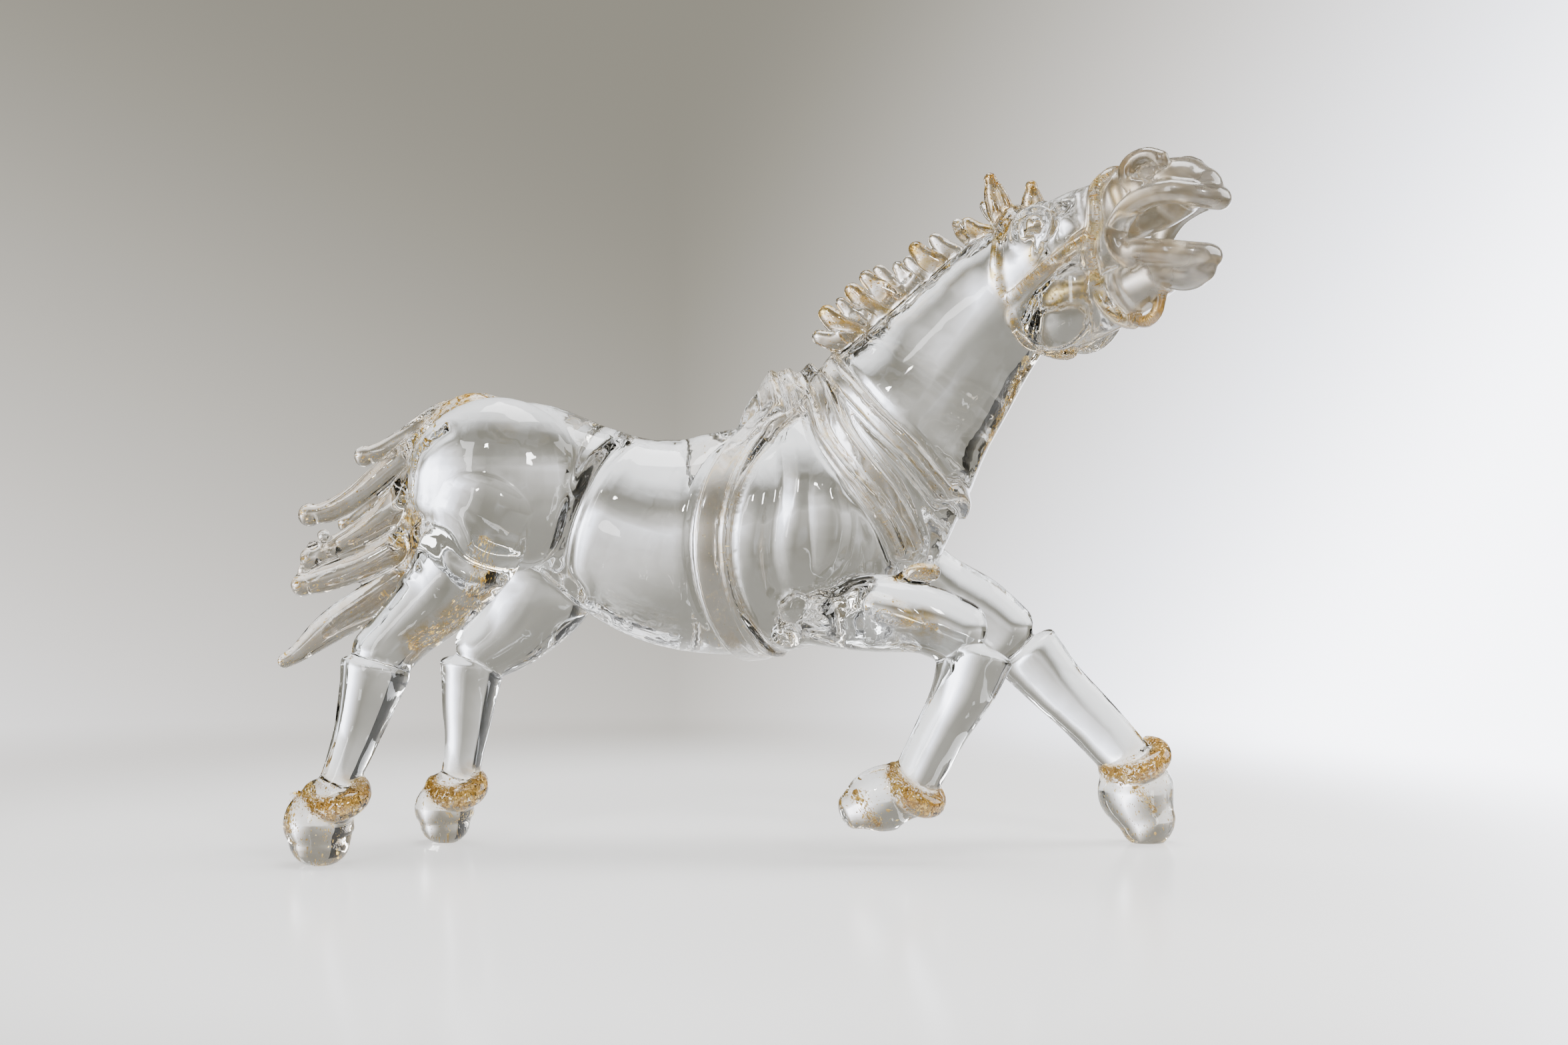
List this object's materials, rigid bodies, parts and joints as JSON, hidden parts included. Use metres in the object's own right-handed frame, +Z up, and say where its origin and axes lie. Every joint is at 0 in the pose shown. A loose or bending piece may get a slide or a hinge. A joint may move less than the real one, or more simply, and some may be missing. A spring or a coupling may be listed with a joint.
{
  "type": "glass horse figurine",
  "caption": "Running horse of solid clear glass, head raised and mouth open, one fused figure with gold leaf in its mane, tail, harness and hoof rolls.",
  "frame": {"origin": "middle of the figure's bounding box, on the shelf that it stands on", "axes": "+X the way the horse runs, +Y its left side, +Z up"},
  "size_m": [0.4458, 0.16, 0.3294],
  "materials": {
    "clear_glass": "fire-polished, clear",
    "gold_leaf": "broken leaf, sealed in the glass"
  },
  "bodies": {
    "root": {"horse": "clear_glass"}
  },
  "joints": []
}
